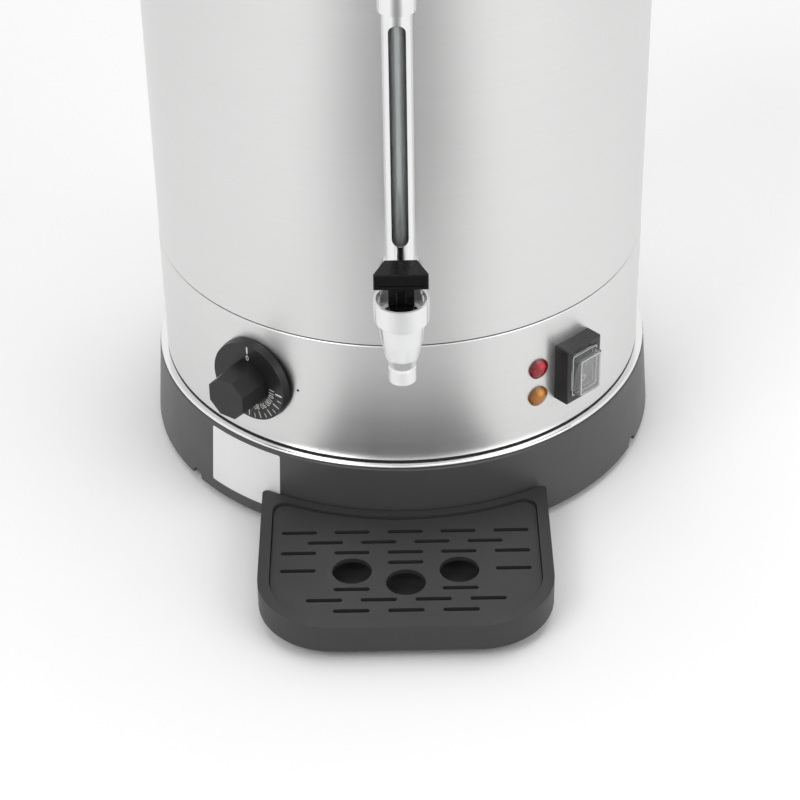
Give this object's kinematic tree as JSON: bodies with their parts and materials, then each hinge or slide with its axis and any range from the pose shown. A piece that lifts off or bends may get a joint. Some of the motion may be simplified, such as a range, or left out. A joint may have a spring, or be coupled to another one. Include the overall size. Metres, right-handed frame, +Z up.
{
  "type": "hot water urn",
  "caption": "Round double-walled hot water urn with a domed lid, front self-closing tap, gauge glass in a slotted guard, thermostat dial, rocker switch and pull-out drip tray.",
  "frame": {"origin": "on the floor, at the centre of the four feet, under the tank's axis", "axes": "+Z up, -Y towards the tap and tray (front), +Y towards the cord gland (back), +X to the right seen from the front"},
  "size_m": [0.402, 0.462, 0.5055],
  "materials": {
    "brushed_steel": "fine horizontal brushing",
    "tank_steel": "satin",
    "bright_trim": "polished stainless",
    "chrome": "polished plating",
    "black_plastic": "fine matt grain",
    "handle_plastic": "satin moulded",
    "switch_black": "satin",
    "nylon": "satin",
    "rubber": "matt",
    "zinc_steel": "zinc plated",
    "brass": "machined",
    "element_steel": "annealed",
    "aluminium": "cast",
    "ceramic": "glazed",
    "red_lens": "clear red",
    "amber_lens": "clear amber",
    "red_plastic": "satin",
    "stem_plastic": "satin",
    "clear_cover": "clear flexible cover",
    "gauge_glass": "clear"
  },
  "bodies": {
    "housing": {"control_band": "brushed_steel", "outer_shell": "brushed_steel", "inner_tank": "tank_steel", "bottom_plate": "tank_steel", "trim_flange": "bright_trim", "gauge_guard": "bright_trim", "guard_cap": "bright_trim", "guard_bracket": "bright_trim", "tap_body": "chrome", "base_ring": "black_plastic", "left_handle": "handle_plastic", "right_handle": "handle_plastic", "tap_bonnet": "handle_plastic", "switch_bezel": "switch_black", "switch_body": "switch_black", "gland_body": "nylon", "gland_cap": "nylon", "gland_nut": "nylon", "thermostat": "nylon", "lamp_bodies": "nylon", "lamp_nuts": "nylon", "boil_dry_cutout": "nylon", "feet": "rubber", "band_gasket": "rubber", "seam_gasket": "rubber", "gauge_seals": "rubber", "tap_gasket": "rubber", "tank_seal": "rubber", "foot_screws": "zinc_steel", "base_screws": "zinc_steel", "guard_screw": "zinc_steel", "handle_screws": "zinc_steel", "clamp_bar": "zinc_steel", "clamp_nut": "zinc_steel", "bush_nut": "brass", "tank_nut": "brass", "main_element": "element_steel", "keep_warm_element": "element_steel", "sensor_bulb": "element_steel", "heater_plate": "aluminium", "terminal_block": "ceramic", "heating_lens": "red_lens", "keep_warm_lens": "amber_lens", "switch_cover": "clear_cover", "gauge_glass": "gauge_glass"},
    "lid": {"lid": "brushed_steel", "knob_ferrule": "chrome", "lid_knob": "handle_plastic", "knob_screw": "zinc_steel"},
    "dial": {"dial_knob": "handle_plastic", "dial_shaft": "zinc_steel"},
    "rocker": {"switch_rocker": "switch_black"},
    "stem": {"tap_stem": "stem_plastic", "tap_seal": "rubber", "tap_spring": "element_steel", "lever_pin": "zinc_steel"},
    "lever": {"tap_lever": "handle_plastic"},
    "reset": {"reset_button": "red_plastic"},
    "tray": {"drip_tray": "black_plastic"},
    "grate": {"drip_grate": "black_plastic"}
  },
  "joints": [
    {"name": "lid_lift", "type": "slide", "parent": "housing", "child": "lid", "axis": [0, 0, 1], "range_m": [0, 0.12]},
    {"name": "dial_turn", "type": "hinge", "parent": "housing", "child": "dial", "pos_m": [-0.09314, -0.1301, 0.1059], "axis": [0.5821, 0.8131, 0], "range_deg": [0, 265]},
    {"name": "rocker_tilt", "type": "hinge", "parent": "housing", "child": "rocker", "pos_m": [0.10924, -0.11963, 0.104], "axis": [-0.7385, -0.6743, 0], "range_deg": [0, 18]},
    {"name": "stem_lift", "type": "slide", "parent": "housing", "child": "stem", "axis": [0, 0, 1], "range_m": [0, 0.003], "deforming": ["tap_spring"]},
    {"name": "lever_press", "type": "hinge", "parent": "stem", "child": "lever", "pos_m": [0, -0.205, 0.2145], "axis": [1, 0, 0], "range_deg": [0, 20], "stiffness_Nm_per_rad": 0.03, "springref_deg": -14.32},
    {"name": "reset_press", "type": "slide", "parent": "housing", "child": "reset", "axis": [0, 0, 1], "range_m": [0, 0.002], "stiffness_N_per_m": 300, "springref_m": -0.002},
    {"name": "tray_pull", "type": "slide", "parent": "housing", "child": "tray", "axis": [0, -1, 0], "range_m": [0, 0.12]},
    {"name": "grate_lift", "type": "slide", "parent": "tray", "child": "grate", "axis": [0, 0, 1], "range_m": [0, 0.06]}
  ],
  "couplings": [
    {"joint": "lever_press", "follows": "stem_lift", "rad_per_m": 116.3}
  ]
}
